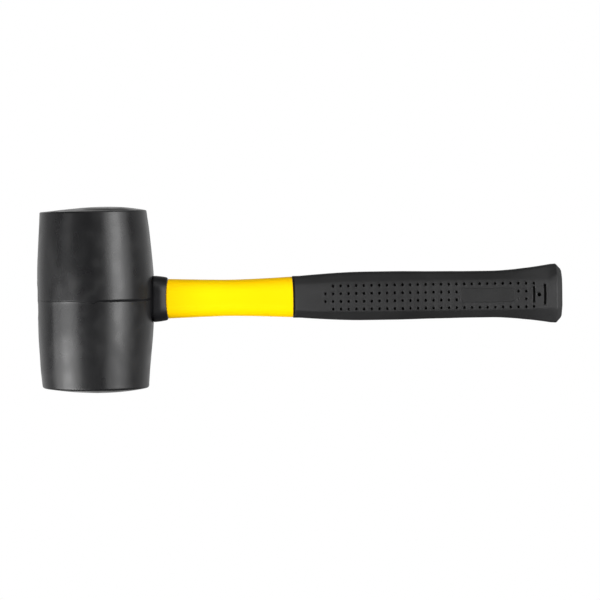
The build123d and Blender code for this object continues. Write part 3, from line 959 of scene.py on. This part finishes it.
def glass_rod():
    m = Nodes("fibreglass")
    along = m.stretched(0.02, 1.0, 1.0)
    fibre = m.noise(900.0, 3.0, 0.6, along)
    streak = m.noise(240.0, 3.0, 0.6, along)
    tone = m.mix(m.span(fibre, 0.35, 0.65, 0, 1), (0.56, 0.60, 0.42), (0.76, 0.78, 0.60))
    m.link(m.mix(m.span(streak, 0.5, 0.75, 0.0, 0.5), tone, (0.46, 0.48, 0.32)), "Base Color")
    m.link(m.span(fibre, 0.3, 0.7, 0.32, 0.48), "Roughness")
    m.link(m.bump(fibre, 0.25, 0.0002), "Normal")
    return m.m


def amber_resin():
    m = Nodes("resin")
    cloud = m.noise(80.0, 4.0, 0.6, distortion=0.4)
    cells = m.voronoi(420.0)
    tone = m.mix(m.span(cloud, 0.35, 0.65, 0, 1, True), (0.36, 0.20, 0.05), (0.52, 0.33, 0.11))
    m.link(m.mix(m.span(cells, 0.0, 0.12, 0.35, 0.0), tone, (0.66, 0.50, 0.27)), "Base Color")
    m.link(m.span(cloud, 0.3, 0.7, 0.16, 0.28), "Roughness")
    m.link(m.bump(cells, 0.15, 0.0003), "Normal")
    return m.m


rubber, sleeve_rubber, yellow = head_rubber(), grip_rubber(), yellow_plastic()
gloss_black, dull_black, rod, resin = collar_plastic(), black_plastic(), glass_rod(), amber_resin()


def dress(obj, material, body="root", node=None):
    obj.data.materials.clear()
    obj.data.materials.append(material)
    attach(obj, body)
    if node:
        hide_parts(node)


dress(head, rubber, node="rubber_head")
dress(plug, dull_black, node="eye_plug")
dress(collar, gloss_black, node="neck_collar")
dress(jacket, yellow, node="handle_jacket")
jacket.visible_glossy = False        # the rubber shows no yellow glare beside the neck
dress(grip, sleeve_rubber, node="grip_sleeve")
for node, material in (("resin_bond", resin), ("fibreglass_core", rod), ("butt_plug", dull_black)):
    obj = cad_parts[node]
    obj.data.materials.clear()
    obj.data.materials.append(material)


# ------------------------------------------------------------ floor and light
def floor():
    size, z = 6.0, -0.0004
    mesh = bpy.data.meshes.new("floor")
    ring = [(size * math.cos(2 * math.pi * k / 96), size * math.sin(2 * math.pi * k / 96), z) for k in range(96)]
    mesh.from_pydata(ring, [], [tuple(range(96))])
    obj = bpy.data.objects.new("floor", mesh)
    bpy.context.scene.collection.objects.link(obj)
    m = bpy.data.materials.new("floor")
    m.use_nodes = True
    t = m.node_tree
    t.nodes.clear()
    out = t.nodes.new("ShaderNodeOutputMaterial")
    glow = t.nodes.new("ShaderNodeEmission")
    glow.inputs["Color"].default_value = (1, 1, 1, 1)
    glow.inputs["Strength"].default_value = 1.0
    t.links.new(glow.outputs[0], out.inputs[0])
    mesh.materials.append(m)
    # the floor is seen, but it neither shades the softboxes nor shows in the rubber
    obj.visible_diffuse = obj.visible_glossy = obj.visible_shadow = obj.visible_transmission = False


def softbox(name, azimuth, elevation, wide, tall, radiance, dist=1.5, centre=(0.0, 0.0, 0.0603)):
    """A soft light seen from the head at an azimuth (from the viewer towards the handle) and elevation,
    wide and tall degrees either way."""
    a, e = math.radians(azimuth), math.radians(elevation)
    where = Vector(centre) + dist * Vector((math.sin(a) * math.cos(e), -math.cos(a) * math.cos(e), math.sin(e)))
    data = bpy.data.lights.new(name, "AREA")
    data.shape = "RECTANGLE"
    data.size, data.size_y = 2 * dist * math.tan(math.radians(wide)), 2 * dist * math.tan(math.radians(tall))
    data.energy = radiance * math.pi * data.size * data.size_y
    obj = bpy.data.objects.new(name, data)
    bpy.context.scene.collection.objects.link(obj)
    obj.location = where
    obj.rotation_euler = (Vector(centre) - where).to_track_quat("-Z", "Y").to_euler()
    obj.visible_camera = False
    return obj


def studio():
    world = bpy.data.worlds.new("studio")
    bpy.context.scene.world = world
    world.use_nodes = True
    t = world.node_tree
    t.nodes.clear()
    out = t.nodes.new("ShaderNodeOutputWorld")
    co = t.nodes.new("ShaderNodeTexCoord").outputs["Generated"]
    xyz = t.nodes.new("ShaderNodeSeparateXYZ")
    t.links.new(co, xyz.inputs[0])

    def span(value, lo, hi, a, b):
        n = t.nodes.new("ShaderNodeMapRange")
        n.interpolation_type = "SMOOTHSTEP"
        for k, v in zip(("From Min", "From Max", "To Min", "To Max"), (lo, hi, a, b)):
            n.inputs[k].default_value = v
        t.links.new(value, n.inputs["Value"])
        return n.outputs["Result"]

    def times(a, b):
        n = t.nodes.new("ShaderNodeMath")
        n.operation = "MULTIPLY"
        t.links.new(a, n.inputs[0])
        t.links.new(b, n.inputs[1])
        return n.outputs[0]

    side = span(xyz.outputs[1], -0.40, 0.87, 0.10, 0.78)       # dark round the viewer, bright behind the mallet
    high = span(xyz.outputs[2], 0.15, 0.75, 1.0, 0.25)
    low = span(xyz.outputs[2], -0.70, -0.15, 0.15, 1.0)
    room = t.nodes.new("ShaderNodeBackground")
    t.links.new(times(times(side, high), low), room.inputs["Strength"])
    seen = t.nodes.new("ShaderNodeBackground")
    seen.inputs["Strength"].default_value = 1.0
    for shader in (room, seen):
        shader.inputs["Color"].default_value = (1, 1, 1, 1)
    path = t.nodes.new("ShaderNodeLightPath")
    mix = t.nodes.new("ShaderNodeMixShader")
    t.links.new(path.outputs["Is Camera Ray"], mix.inputs[0])
    t.links.new(room.outputs[0], mix.inputs[1])
    t.links.new(seen.outputs[0], mix.inputs[2])
    t.links.new(mix.outputs[0], out.inputs[0])


floor()
studio()
softbox("right_core", 50, 7, 11, 21, 4.8)
softbox("right_wrap", 52, 3, 25, 28, 2.7, dist=1.55)
softbox("left_core", -55, -25, 12, 16, 8.0)
softbox("left_wrap", -60, -25, 30, 22, 4.1, dist=1.55)
softbox("left_high", -54, 13, 9, 15, 0.5)
softbox("front_top", 10, 52, 20, 16, 1.3, dist=1.7)
bpy.context.scene.view_settings.view_transform = "Standard"
bpy.context.scene.view_settings.look = "None"
